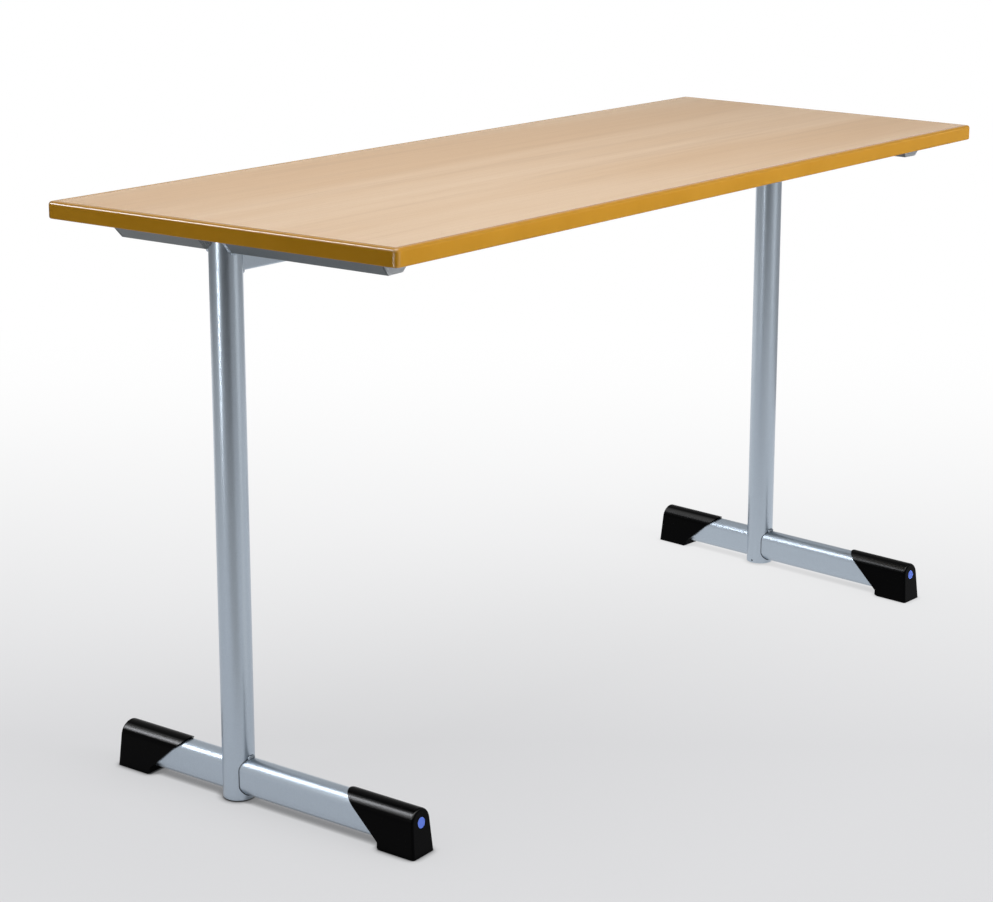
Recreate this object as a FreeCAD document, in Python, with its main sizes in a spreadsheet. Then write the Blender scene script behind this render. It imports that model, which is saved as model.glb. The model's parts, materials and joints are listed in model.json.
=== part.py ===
import FreeCAD, Part
import math
import os
import Sketcher

# Two-person school desk: a slightly tapered board on two welded T-shaped steel frames.
# Millimetres, +Z up, floor at Z = 0. The origin lies below the middle of the board,
# +X runs along the desk to the right and +Y from the near long edge to the far one.
# A frame has its own directions: "across" points along the desk and "along" follows the foot.

SIZES = {
    # Board
    "top_height": 760,
    "top_depth": 555,
    "front_length": 1340,
    "back_length": 1400,
    "core_thickness": 20.4,
    "laminate_thickness": 0.8,
    # Cast edge moulding and the key that holds it in the core
    "edge_width": 10,
    "edge_corner_radius": 6,
    "edge_top_radius": 4,
    "edge_bottom_radius": 2.5,
    "key_depth": 5,
    "key_height": 6,
    # Place of the frames under the board
    "frame_inset": 74,
    "column_setback": 51,
    # Columns
    "column_diameter": 42,
    "column_wall": 2,
    "column_floor_gap": 2,
    "column_head_gap": 3,
    "drain_diameter": 3,
    "drain_height": 4,
    "plug_gap": 0.3,
    "plug_height": 3.5,
    # Feet
    "foot_reach": 248,
    "foot_width": 30,
    "foot_height": 50,
    "foot_wall": 2,
    "foot_floor_gap": 7,
    "slot_gap": 0.9,
    # Foot caps
    "cap_wall": 2.8,
    "cap_end_wall": 4,
    "cap_end_lean": 5,
    "cap_sole_width": 41,
    "cap_sole_length": 57,
    "cap_crown_length": 114,
    "cap_lip_height": 9,
    "cap_heel_run": 4.5,
    "cap_heel_rise": 2,
    "cap_edge_radius": 3,
    "grip_gap": 0.3,
    # Size marks in the caps
    "mark_diameter": 14,
    "mark_thickness": 2,
    "mark_gap": 0.15,
    # Cross bearers
    "bearer_depth": 25,
    "bearer_sheet": 2,
    "bearer_floor_width": 26,
    "bearer_floor_length": 426,
    "bearer_flank_run": 19,
    "bearer_end_run": 5,
    "bearer_flange_width": 14,
    "bearer_bend_radius": 1.5,
    "bearer_seam_gap": 0.8,
    # Rail between the columns
    "rail_width": 20,
    "rail_height": 30,
    "rail_wall": 1.5,
    "rail_drop": 53,
    "rail_corner_radius": 2.5,
    # Welds and their seats
    "weld_seat_gap": 0.3,
    "weld_leg": 3.5,
    "foot_weld_angle": 24,
    "seam_weld_angle": 56,
    "rail_weld_angle": 56,
    # Screws through the bearers' flanges
    "screw_pitch": 170,
    "screw_head_diameter": 11,
    "screw_head_height": 2.5,
    "screw_shank_diameter": 4.5,
    "screw_bite": 15,
    "screw_gap": 0.15,
}

LEFT = -1
RIGHT = 1
SIDES = {"left": LEFT, "right": RIGHT}
SCREW_ROWS = (-1, 1)
SCREW_STATIONS = (-1, 1)
SAME_PLACE = 0.001

doc = FreeCAD.newDocument("school_desk")
sheet = doc.addObject("Spreadsheet::Sheet", "Sizes")
for row, (alias, number) in enumerate(SIZES.items(), start=1):
    sheet.set(f"A{row}", alias)
    sheet.set(f"B{row}", str(number))
    sheet.setAlias(f"B{row}", alias)
doc.recompute()

# Lengths worked out from the sheet, as expressions.
TOP_THICKNESS = "(Sizes.core_thickness + 2 * Sizes.laminate_thickness)"
UNDERSIDE = f"(Sizes.top_height - {TOP_THICKNESS})"
TAPER = "((Sizes.back_length - Sizes.front_length) / (2 * Sizes.top_depth))"
TAPER_ANGLE = f"atan({TAPER})"
END_SLANT = f"sqrt(1 + {TAPER} ^ 2)"
FRAME_X = "((Sizes.front_length + Sizes.back_length) / 4 - Sizes.frame_inset)"
COLUMN_RADIUS = "(Sizes.column_diameter / 2)"
COLUMN_X = f"({FRAME_X} + Sizes.column_setback * sin({TAPER_ANGLE}))"
COLUMN_Y = f"(Sizes.column_setback * cos({TAPER_ANGLE}))"
FOOT_RADIUS = "(Sizes.foot_width / 2)"
FOOT_LOW_CENTRE = f"(Sizes.foot_floor_gap + {FOOT_RADIUS})"
FOOT_HIGH_CENTRE = f"(Sizes.foot_floor_gap + Sizes.foot_height - {FOOT_RADIUS})"
FOOT_CROWN = "(Sizes.foot_floor_gap + Sizes.foot_height)"
CAP_CROWN = f"({FOOT_CROWN} + Sizes.cap_wall)"
CAP_SOCKET = "(Sizes.cap_end_lean + Sizes.cap_end_wall)"
BEARER_RISE = "(Sizes.bearer_depth - Sizes.bearer_sheet)"
BEARER_BOTTOM = f"({UNDERSIDE} - Sizes.bearer_depth)"
BEARER_HALF_WIDTH = "(Sizes.bearer_floor_width / 2)"
BEARER_HALF_LENGTH = "(Sizes.bearer_floor_length / 2)"
SCREW_ROW = f"({BEARER_HALF_WIDTH} + Sizes.bearer_flank_run + Sizes.bearer_flange_width / 2)"
SCREW_RADIUS = "(Sizes.screw_shank_diameter / 2)"
SCREW_HOLE_RADIUS = f"({SCREW_RADIUS} + Sizes.screw_gap)"
RAIL_BOTTOM = f"({UNDERSIDE} - Sizes.rail_drop)"


def read(expression):
    """The number that an expression gives with the sheet as it stands."""
    found = sheet.evalExpression(expression)
    return float(getattr(found, "Value", found))


def body(label):
    made = doc.addObject("PartDesign::Body", label)
    made.Label = label
    return made


def sketch(owner, name, role, lift="0"):
    """A sketch on one of the body's own origin planes, lifted along that plane's normal."""
    drawn = owner.newObject("Sketcher::SketchObject", name)
    base = next(plane for plane in owner.Origin.OriginFeatures if plane.Role == role)
    drawn.AttachmentSupport = [(base, "")]
    drawn.MapMode = "FlatFace"
    drawn.setExpression("AttachmentOffset.Base.z", lift)
    return drawn


def bind(drawn, constraint, expression):
    index = drawn.addConstraint(constraint)
    drawn.setExpression(f"Constraints[{index}]", expression)


def hold_point(drawn, element, point, across, up):
    """Holds a point of a sketch element at two distances from the sketch's origin."""
    for kind, axis, expression in (("DistanceX", -2, across), ("DistanceY", -1, up)):
        if expression == "0":
            drawn.addConstraint(Sketcher.Constraint("PointOnObject", element, point, axis))
        else:
            bind(drawn, Sketcher.Constraint(kind, -1, 1, element, point, read(expression)), expression)


def polygon(drawn, corners):
    """A closed outline of straight lines through corners given as pairs of expressions."""
    first = drawn.GeometryCount
    count = len(corners)
    spots = [FreeCAD.Vector(read(across), read(up), 0) for across, up in corners]
    for number in range(count):
        drawn.addGeometry(Part.LineSegment(spots[number], spots[(number + 1) % count]))
    for number in range(count):
        following = first + (number + 1) % count
        drawn.addConstraint(Sketcher.Constraint("Coincident", first + number, 2, following, 1))
    for number, (across, up) in enumerate(corners):
        hold_point(drawn, first + number, 1, across, up)


def rectangle(drawn, half_width, half_height):
    polygon(drawn, [
        (f"-({half_width})", f"-({half_height})"),
        (half_width, f"-({half_height})"),
        (half_width, half_height),
        (f"-({half_width})", half_height),
    ])


def circle(drawn, across, up, radius):
    centre = FreeCAD.Vector(read(across), read(up), 0)
    element = drawn.addGeometry(Part.Circle(centre, FreeCAD.Vector(0, 0, 1), read(radius)))
    hold_point(drawn, element, 3, across, up)
    bind(drawn, Sketcher.Constraint("Radius", element, read(radius)), radius)


def arc(drawn, centre_up, radius, start, end):
    """An arc about a centre on the sketch's upright axis, between two angles in radians."""
    ring = Part.Circle(FreeCAD.Vector(0, read(centre_up), 0), FreeCAD.Vector(0, 0, 1), read(radius))
    element = drawn.addGeometry(Part.ArcOfCircle(ring, start, end))
    hold_point(drawn, element, 3, "0", centre_up)
    bind(drawn, Sketcher.Constraint("Radius", element, read(radius)), radius)
    return element


def line(drawn, start, end):
    return drawn.addGeometry(Part.LineSegment(FreeCAD.Vector(*start, 0), FreeCAD.Vector(*end, 0)))


def join_smoothly(drawn, first, first_end, second, second_end):
    drawn.addConstraint(Sketcher.Constraint("Tangent", first, first_end, second, second_end))


def oval(drawn, radius, low_centre, high_centre):
    """The flat-oval outline of a foot tube: two upright sides and two half circles."""
    half = read(radius)
    low = read(low_centre)
    high = read(high_centre)
    left = line(drawn, (-half, low), (-half, high))
    right = line(drawn, (half, low), (half, high))
    upper = arc(drawn, high_centre, radius, 0, math.pi)
    lower = arc(drawn, low_centre, radius, math.pi, 2 * math.pi)
    join_smoothly(drawn, left, 2, upper, 2)
    join_smoothly(drawn, right, 2, upper, 1)
    join_smoothly(drawn, left, 1, lower, 1)
    join_smoothly(drawn, right, 1, lower, 2)


def board_outline(drawn, inset):
    """The tapered plan of the board, moved inwards by the same distance on all four sides."""
    half_depth = f"(Sizes.top_depth / 2 - {inset})"
    middle = f"((Sizes.front_length + Sizes.back_length) / 4 - {inset} * {END_SLANT})"
    front = f"({middle} - {half_depth} * {TAPER})"
    back = f"({middle} + {half_depth} * {TAPER})"
    polygon(drawn, [
        (f"-{front}", f"-{half_depth}"),
        (front, f"-{half_depth}"),
        (back, half_depth),
        (f"-{back}", half_depth),
    ])


def add(owner, kind, drawn):
    made = owner.newObject(f"PartDesign::{kind}", f"{drawn.Name}_{kind.lower()}")
    made.Profile = drawn
    return made


def pad(owner, drawn, length):
    made = add(owner, "Pad", drawn)
    made.setExpression("Length", length)
    doc.recompute()
    return made


def must_remove(owner, before):
    if not owner.Shape.Volume < before:
        raise RuntimeError(f"a cut in {owner.Label} removed nothing")


def pocket(owner, drawn, depth=None, both_ways=False, reverse=False):
    """A cut of a given depth, or right through where no depth is given."""
    before = owner.Shape.Volume
    made = add(owner, "Pocket", drawn)
    if depth is None:
        made.Type = "ThroughAll"
    else:
        made.setExpression("Length", depth)
    made.SideType = "Symmetric" if both_ways else "One side"
    made.Reversed = reverse
    doc.recompute()
    must_remove(owner, before)
    return made


def round_edges(owner, feature, chosen, radius):
    names = [f"Edge{number}" for number, edge in enumerate(feature.Shape.Edges, start=1) if chosen(edge)]
    made = owner.newObject("PartDesign::Fillet", f"{feature.Name}_rounding")
    made.Base = (feature, names)
    made.setExpression("Radius", radius)
    doc.recompute()
    return made


def lies_at_height(edge, height):
    return all(abs(vertex.Z - height) < SAME_PLACE for vertex in edge.Vertexes)


def is_upright(edge):
    low, high = edge.BoundBox.ZMin, edge.BoundBox.ZMax
    return edge.BoundBox.DiagonalLength - (high - low) < SAME_PLACE


def put_on_frame(placed, side, along="0", up="0", turned=False):
    """Stands an object in a frame's own directions, at a distance along the foot."""
    placed.Placement = FreeCAD.Placement(FreeCAD.Vector(), FreeCAD.Rotation(FreeCAD.Vector(0, 0, -side), 1))
    placed.setExpression("Placement.Base.x", f"{side} * ({FRAME_X} + ({along}) * sin({TAPER_ANGLE}))")
    placed.setExpression("Placement.Base.y", f"({along}) * cos({TAPER_ANGLE})")
    placed.setExpression("Placement.Base.z", up)
    half_turn = " + 180 deg" if turned else ""
    placed.setExpression("Placement.Rotation.Angle", f"{TAPER_ANGLE}{half_turn}")


def screw_spots(side):
    """Where a bearer's screws stand under the board, as pairs of expressions."""
    spots = []
    for row in SCREW_ROWS:
        for station in SCREW_STATIONS:
            across = f"({row} * {SCREW_ROW})"
            along = f"({station} * Sizes.screw_pitch)"
            spots.append((
                f"{side} * {FRAME_X} + {across} * cos({TAPER_ANGLE}) + {side} * {along} * sin({TAPER_ANGLE})",
                f"-{side} * {across} * sin({TAPER_ANGLE}) + {along} * cos({TAPER_ANGLE})",
            ))
    return spots


def pilot_holes(drawn):
    for side in SIDES.values():
        for across, along in screw_spots(side):
            circle(drawn, across, along, SCREW_HOLE_RADIUS)


def build_core():
    """Board core in three layers: the middle one is cut back to make the groove for the key."""
    made = body("top_core")
    made.setExpression("Placement.Base.z", f"{UNDERSIDE} + Sizes.laminate_thickness")
    key_low = "((Sizes.core_thickness - Sizes.key_height) / 2)"
    key_high = f"({key_low} + Sizes.key_height)"
    lower = sketch(made, "core_lower_plan", "XY_Plane")
    board_outline(lower, "Sizes.edge_width")
    pad(made, lower, key_low)
    waist = sketch(made, "core_waist_plan", "XY_Plane", key_low)
    board_outline(waist, "(Sizes.edge_width + Sizes.key_depth)")
    pad(made, waist, "Sizes.key_height")
    upper = sketch(made, "core_upper_plan", "XY_Plane", key_high)
    board_outline(upper, "Sizes.edge_width")
    pad(made, upper, key_low)
    pilots = sketch(made, "core_pilot_plan", "XY_Plane")
    pilot_holes(pilots)
    pocket(made, pilots, "Sizes.screw_bite - Sizes.laminate_thickness", reverse=True)
    return made


def build_laminate(label, up, drilled):
    made = body(label)
    made.setExpression("Placement.Base.z", up)
    plan = sketch(made, f"{label}_plan", "XY_Plane")
    board_outline(plan, "Sizes.edge_width")
    pad(made, plan, "Sizes.laminate_thickness")
    if drilled:
        pilots = sketch(made, f"{label}_pilot_plan", "XY_Plane")
        pilot_holes(pilots)
        pocket(made, pilots, reverse=True)
    return made


def build_edge_moulding():
    """Cast edge: a rounded rim round the board with a key that stands into the core's groove."""
    made = body("edge_moulding")
    made.setExpression("Placement.Base.z", UNDERSIDE)
    key_low = f"(({TOP_THICKNESS} - Sizes.key_height) / 2)"
    key_high = f"({key_low} + Sizes.key_height)"
    plan = sketch(made, "edge_plan", "XY_Plane")
    board_outline(plan, "0")
    block = pad(made, plan, TOP_THICKNESS)
    cornered = round_edges(made, block, is_upright, "Sizes.edge_corner_radius")
    top = read(TOP_THICKNESS)
    softened = round_edges(made, cornered, lambda edge: lies_at_height(edge, top), "Sizes.edge_top_radius")
    round_edges(made, softened, lambda edge: lies_at_height(edge, 0), "Sizes.edge_bottom_radius")
    through = sketch(made, "edge_key_opening", "XY_Plane", TOP_THICKNESS)
    board_outline(through, "(Sizes.edge_width + Sizes.key_depth)")
    pocket(made, through)
    upper = sketch(made, "edge_upper_opening", "XY_Plane", TOP_THICKNESS)
    board_outline(upper, "Sizes.edge_width")
    pocket(made, upper, f"{TOP_THICKNESS} - {key_high}")
    lower = sketch(made, "edge_lower_opening", "XY_Plane", key_low)
    board_outline(lower, "Sizes.edge_width")
    pocket(made, lower, key_low)
    return made


def build_column(name, side):
    """Round column with the slot that the foot passes through and a drain hole on its inner side."""
    made = body(f"{name}_column")
    put_on_frame(made, side, "Sizes.column_setback", "Sizes.column_floor_gap")
    ring = sketch(made, f"{name}_column_ring", "XY_Plane")
    circle(ring, "0", "0", COLUMN_RADIUS)
    circle(ring, "0", "0", f"{COLUMN_RADIUS} - Sizes.column_wall")
    pad(made, ring, f"{UNDERSIDE} - Sizes.column_head_gap - Sizes.column_floor_gap")
    slot = sketch(made, f"{name}_foot_slot", "XZ_Plane")
    oval(
        slot,
        f"({FOOT_RADIUS} + Sizes.slot_gap)",
        f"({FOOT_LOW_CENTRE} - Sizes.column_floor_gap)",
        f"({FOOT_HIGH_CENTRE} - Sizes.column_floor_gap)",
    )
    pocket(made, slot, both_ways=True)
    drain = sketch(made, f"{name}_drain", "YZ_Plane")
    circle(drain, "0", "Sizes.drain_height", "Sizes.drain_diameter / 2")
    pocket(made, drain, reverse=side == LEFT)
    return made


def build_plug(name, side):
    """Flat disc that closes the lower end of a column below the foot."""
    made = body(f"{name}_column_plug")
    put_on_frame(made, side, "Sizes.column_setback", "Sizes.column_floor_gap")
    disc = sketch(made, f"{name}_plug_plan", "XY_Plane")
    circle(disc, "0", "0", f"{COLUMN_RADIUS} - Sizes.column_wall - Sizes.plug_gap")
    pad(made, disc, "Sizes.plug_height")
    return made


def build_foot_tube(name, side):
    """Flat-oval tube that passes through the column and ends inside both caps."""
    made = body(f"{name}_foot_tube")
    put_on_frame(made, side)
    half_length = f"(Sizes.foot_reach - {CAP_SOCKET} - Sizes.grip_gap)"
    section = sketch(made, f"{name}_foot_section", "XZ_Plane", f"-{half_length}")
    oval(section, FOOT_RADIUS, FOOT_LOW_CENTRE, FOOT_HIGH_CENTRE)
    oval(section, f"({FOOT_RADIUS} - Sizes.foot_wall)", FOOT_LOW_CENTRE, FOOT_HIGH_CENTRE)
    pad(made, section, f"2 * {half_length}")
    return made


def tilt_to_cap_end(drawn):
    """Lays a sketch on the leaning outer end of a cap, centred on the arch."""
    lean = f"(Sizes.cap_end_lean / {CAP_CROWN})"
    drawn.AttachmentOffset = FreeCAD.Placement(
        FreeCAD.Vector(), FreeCAD.Rotation(FreeCAD.Vector(-1, 0, 0), 1))
    drawn.setExpression("AttachmentOffset.Base.y", FOOT_HIGH_CENTRE)
    drawn.setExpression("AttachmentOffset.Base.z", f"-{lean} * {FOOT_HIGH_CENTRE}")
    drawn.setExpression("AttachmentOffset.Rotation.Angle", f"atan({lean})")


def build_cap(label, side, back):
    """Moulded foot cap: an arched, flared shell with a leaning end, a slanting mouth and a flat sole.

    Its own origin lies on the floor at the outer end, with the foot running towards its +Y.
    """
    made = body(label)
    along = "Sizes.foot_reach" if back else "-Sizes.foot_reach"
    put_on_frame(made, side, along, turned=back)
    arch_radius = f"({FOOT_RADIUS} + Sizes.cap_wall)"
    clear = "Sizes.cap_wall"
    pad_length = f"(Sizes.cap_crown_length + {CAP_CROWN})"

    section = sketch(made, f"{label}_section", "XZ_Plane", f"-{pad_length}")
    half_sole = read("Sizes.cap_sole_width / 2")
    shoulder = read(arch_radius)
    height = read(FOOT_HIGH_CENTRE)
    sole = line(section, (-half_sole, 0), (half_sole, 0))
    right = line(section, (half_sole, 0), (shoulder, height))
    left = line(section, (-shoulder, height), (-half_sole, 0))
    arch = arc(section, FOOT_HIGH_CENTRE, arch_radius, 0, math.pi)
    section.addConstraint(Sketcher.Constraint("Coincident", sole, 2, right, 1))
    section.addConstraint(Sketcher.Constraint("Coincident", left, 2, sole, 1))
    join_smoothly(section, right, 2, arch, 1)
    join_smoothly(section, left, 1, arch, 2)
    hold_point(section, sole, 1, "-Sizes.cap_sole_width / 2", "0")
    hold_point(section, sole, 2, "Sizes.cap_sole_width / 2", "0")
    pad(made, section, pad_length)

    over = f"({CAP_CROWN} + {clear})"
    mouth_run = "(Sizes.cap_crown_length - Sizes.cap_sole_length)"
    mouth_slope = f"({mouth_run} / ({CAP_CROWN} - Sizes.cap_lip_height))"
    profile = sketch(made, f"{label}_side_profile", "YZ_Plane")
    polygon(profile, [
        ("0", "0"),
        ("Sizes.cap_sole_length - Sizes.cap_heel_run", "0"),
        ("Sizes.cap_sole_length", "Sizes.cap_heel_rise"),
        ("Sizes.cap_sole_length", "Sizes.cap_lip_height"),
        (f"Sizes.cap_crown_length + {clear} * {mouth_slope}", over),
        (f"Sizes.cap_end_lean * {over} / {CAP_CROWN}", over),
    ])
    polygon(profile, [
        (f"-{clear}", f"-{clear}"),
        (f"{pad_length} + {clear}", f"-{clear}"),
        (f"{pad_length} + {clear}", f"{over} + {clear}"),
        (f"-{clear}", f"{over} + {clear}"),
    ])
    shaped = pocket(made, profile, both_ways=True)

    lean = read(f"Sizes.cap_end_lean / {CAP_CROWN}")
    round_edges(
        made,
        shaped,
        lambda edge: all(abs(spot.y - lean * spot.z) < SAME_PLACE for spot in edge.discretize(3))
        and edge.BoundBox.ZMax > SAME_PLACE,
        "Sizes.cap_edge_radius",
    )

    socket = sketch(made, f"{label}_socket", "XZ_Plane", f"-{CAP_SOCKET}")
    oval(socket, f"({FOOT_RADIUS} + Sizes.grip_gap)", FOOT_LOW_CENTRE, FOOT_HIGH_CENTRE)
    pocket(made, socket)

    recess = sketch(made, f"{label}_mark_recess", "XZ_Plane")
    tilt_to_cap_end(recess)
    circle(recess, "0", "0", "Sizes.mark_diameter / 2")
    pocket(made, recess, "Sizes.mark_thickness")
    return made


def build_mark(label, side, back):
    """Round size mark that sits flush in the end of a cap; it shares the cap's placement."""
    made = body(label)
    along = "Sizes.foot_reach" if back else "-Sizes.foot_reach"
    put_on_frame(made, side, along, turned=back)
    plan = sketch(made, f"{label}_plan", "XZ_Plane")
    tilt_to_cap_end(plan)
    circle(plan, "0", "0", "Sizes.mark_diameter / 2 - Sizes.mark_gap")
    disc = pad(made, plan, "Sizes.mark_thickness")
    disc.Reversed = True
    doc.recompute()
    return made


def loft(owner, kind, first, second):
    made = owner.newObject(f"PartDesign::{kind}", f"{first.Name}_loft")
    made.Profile = first
    made.Sections = [second]
    made.Ruled = True
    doc.recompute()
    return made


def build_bearer(name, side):
    """Folded steel tray under one end of the board, with a flange all round its rim.

    Its four corners are open seams, and a notch from below takes the head of the column.
    """
    made = body(f"{name}_bearer")
    put_on_frame(made, side, up=BEARER_BOTTOM)
    rim_half_width = f"({BEARER_HALF_WIDTH} + Sizes.bearer_flank_run)"
    rim_half_length = f"({BEARER_HALF_LENGTH} + Sizes.bearer_end_run)"
    section = sketch(made, f"{name}_bearer_section", "XZ_Plane", f"-{rim_half_length}")
    polygon(section, [
        (f"-{BEARER_HALF_WIDTH}", "0"),
        (BEARER_HALF_WIDTH, "0"),
        (rim_half_width, BEARER_RISE),
        (f"-{rim_half_width}", BEARER_RISE),
    ])
    pad(made, section, f"2 * {rim_half_length}")
    ends = sketch(made, f"{name}_bearer_ends", "YZ_Plane")
    for end in SIDES.values():
        polygon(ends, [
            (f"{end} * {BEARER_HALF_LENGTH}", "0"),
            (f"{end} * {rim_half_length}", BEARER_RISE),
            (f"{end} * {rim_half_length}", "0"),
        ])
    cut_back = pocket(made, ends, both_ways=True)
    round_edges(made, cut_back, lambda edge: lies_at_height(edge, 0), "Sizes.bearer_bend_radius")
    flange = sketch(made, f"{name}_bearer_flange", "XY_Plane", BEARER_RISE)
    rectangle(
        flange,
        f"({rim_half_width} + Sizes.bearer_flange_width)",
        f"({rim_half_length} + Sizes.bearer_flange_width)",
    )
    pad(made, flange, "Sizes.bearer_sheet")

    flank = f"(Sizes.bearer_flank_run / {BEARER_RISE})"
    end = f"(Sizes.bearer_end_run / {BEARER_RISE})"
    inner_half_width = f"({BEARER_HALF_WIDTH} - Sizes.bearer_sheet * sqrt(1 + {flank} ^ 2))"
    inner_half_length = f"({BEARER_HALF_LENGTH} - Sizes.bearer_sheet * sqrt(1 + {end} ^ 2))"
    before = made.Shape.Volume
    inner_floor = sketch(made, f"{name}_bearer_inner_floor", "XY_Plane", "Sizes.bearer_sheet")
    rectangle(
        inner_floor,
        f"({inner_half_width} + Sizes.bearer_sheet * {flank})",
        f"({inner_half_length} + Sizes.bearer_sheet * {end})",
    )
    inner_rim = sketch(made, f"{name}_bearer_inner_rim", "XY_Plane", "Sizes.bearer_depth")
    rectangle(
        inner_rim,
        f"({inner_half_width} + Sizes.bearer_depth * {flank})",
        f"({inner_half_length} + Sizes.bearer_depth * {end})",
    )
    loft(made, "SubtractiveLoft", inner_floor, inner_rim)
    must_remove(made, before)

    seams = sketch(made, f"{name}_bearer_seams", "YZ_Plane")
    seam_low = "(Sizes.bearer_sheet + Sizes.bearer_bend_radius)"
    for side_end in SIDES.values():
        polygon(seams, [
            (f"{side_end} * ({inner_half_length} + {end} * {up} - {back})", up)
            for up, back in (
                (seam_low, "0"),
                (BEARER_RISE, "0"),
                (BEARER_RISE, "Sizes.bearer_seam_gap"),
                (seam_low, "Sizes.bearer_seam_gap"),
            )
        ])
    pocket(made, seams, both_ways=True)

    # The notch ends where the sloping flanks stand clear of the column.
    notch = sketch(made, f"{name}_bearer_notch", "YZ_Plane")
    notch_half = f"({COLUMN_RADIUS} + Sizes.weld_seat_gap)"
    notch_top = f"(({notch_half} - {inner_half_width}) / {flank} + Sizes.bearer_sheet)"
    polygon(notch, [
        (f"Sizes.column_setback - {notch_half}", "-Sizes.bearer_sheet"),
        (f"Sizes.column_setback + {notch_half}", "-Sizes.bearer_sheet"),
        (f"Sizes.column_setback + {notch_half}", notch_top),
        (f"Sizes.column_setback - {notch_half}", notch_top),
    ])
    pocket(made, notch, both_ways=True)

    holes = sketch(made, f"{name}_bearer_holes", "XY_Plane")
    for row in SCREW_ROWS:
        for station in SCREW_STATIONS:
            circle(holes, f"{row} * {SCREW_ROW}", f"{station} * Sizes.screw_pitch", SCREW_HOLE_RADIUS)
    pocket(made, holes, reverse=True)
    return made


def build_rail():
    """Rectangular tube between the columns, hollowed at both ends to fit round them."""
    made = body("long_rail")
    made.setExpression("Placement.Base.y", COLUMN_Y)
    made.setExpression("Placement.Base.z", RAIL_BOTTOM)
    section = sketch(made, "rail_section", "YZ_Plane", f"-{COLUMN_X}")
    half = "(Sizes.rail_width / 2)"
    polygon(section, [
        (f"-{half}", "0"),
        (half, "0"),
        (half, "Sizes.rail_height"),
        (f"-{half}", "Sizes.rail_height"),
    ])
    bar = pad(made, section, f"2 * {COLUMN_X}")
    length = read(f"2 * {COLUMN_X}")
    round_edges(made, bar, lambda edge: abs(edge.Length - length) < SAME_PLACE, "Sizes.rail_corner_radius")
    bore = sketch(made, "rail_bore", "YZ_Plane")
    inner = f"({half} - Sizes.rail_wall)"
    polygon(bore, [
        (f"-{inner}", "Sizes.rail_wall"),
        (inner, "Sizes.rail_wall"),
        (inner, "Sizes.rail_height - Sizes.rail_wall"),
        (f"-{inner}", "Sizes.rail_height - Sizes.rail_wall"),
    ])
    pocket(made, bore, both_ways=True)
    ends = sketch(made, "rail_ends", "XY_Plane")
    for side in SIDES.values():
        circle(ends, f"{side} * {COLUMN_X}", "0", f"{COLUMN_RADIUS} + Sizes.weld_seat_gap")
    pocket(made, ends, reverse=True)
    return made


def build_bead(label, role, reach_sign, under, side, up, angle):
    """One fillet weld: a three-cornered seam turned part of the way round the column."""
    made = body(label)
    put_on_frame(made, side, "Sizes.column_setback", up)
    rise = -1 if under else 1
    inner = f"({reach_sign} * ({COLUMN_RADIUS} + Sizes.weld_seat_gap))"
    outer = f"({reach_sign} * ({COLUMN_RADIUS} + Sizes.weld_seat_gap + Sizes.weld_leg))"
    section = sketch(made, f"{label}_section", role)
    polygon(section, [(inner, "0"), (outer, "0"), (inner, f"{rise} * Sizes.weld_leg")])
    turned = add(made, "Revolution", section)
    turned.ReferenceAxis = (section, ["V_Axis"])
    turned.setExpression("Angle", angle)
    turned.Midplane = True
    doc.recompute()
    return made


def group(label, members):
    made = doc.addObject("Part::Compound", label)
    made.Label = label
    made.Links = members
    return made


def build_foot_welds(name, side):
    """Two short welds on the crown of the foot, before and behind the column."""
    up = f"{FOOT_CROWN} + Sizes.weld_seat_gap"
    return group(f"{name}_foot_welds", [
        build_bead(f"{name}_foot_weld_near", "YZ_Plane", -1, False, side, up, "Sizes.foot_weld_angle"),
        build_bead(f"{name}_foot_weld_far", "YZ_Plane", 1, False, side, up, "Sizes.foot_weld_angle"),
    ])


def build_bearer_welds(name, side):
    """Two welds under the bearer's floor, before and behind the column."""
    angle = "Sizes.seam_weld_angle"
    return group(f"{name}_bearer_welds", [
        build_bead(f"{name}_bearer_weld_near", "YZ_Plane", -1, True, side, BEARER_BOTTOM, angle),
        build_bead(f"{name}_bearer_weld_far", "YZ_Plane", 1, True, side, BEARER_BOTTOM, angle),
    ])


def build_rail_welds():
    """A weld below each end of the rail, on the side of the column that faces the rail."""
    beads = [
        build_bead(f"{name}_rail_weld", "XZ_Plane", -side, True, side, RAIL_BOTTOM, "Sizes.rail_weld_angle")
        for name, side in SIDES.items()
    ]
    return group("rail_welds", beads)


def build_screws(name, side):
    """The pan-head screws that hold one bearer to the board."""
    screws = []
    for number, (across, along) in enumerate(screw_spots(side), start=1):
        head = doc.addObject("Part::Cylinder", f"{name}_screw_head_{number}")
        head.setExpression("Radius", "Sizes.screw_head_diameter / 2")
        head.setExpression("Height", "Sizes.screw_head_height")
        head.setExpression("Placement.Base.z", "-Sizes.screw_head_height")
        shank = doc.addObject("Part::Cylinder", f"{name}_screw_shank_{number}")
        shank.setExpression("Radius", SCREW_RADIUS)
        shank.setExpression("Height", "Sizes.bearer_sheet + Sizes.screw_bite - Sizes.screw_gap")
        screw = doc.addObject("Part::Fuse", f"{name}_screw_{number}")
        screw.Base = head
        screw.Tool = shank
        screw.setExpression("Placement.Base.x", across)
        screw.setExpression("Placement.Base.y", along)
        screw.setExpression("Placement.Base.z", f"{UNDERSIDE} - Sizes.bearer_sheet")
        screws.append(screw)
    return group(f"{name}_bearer_screws", screws)


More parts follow.
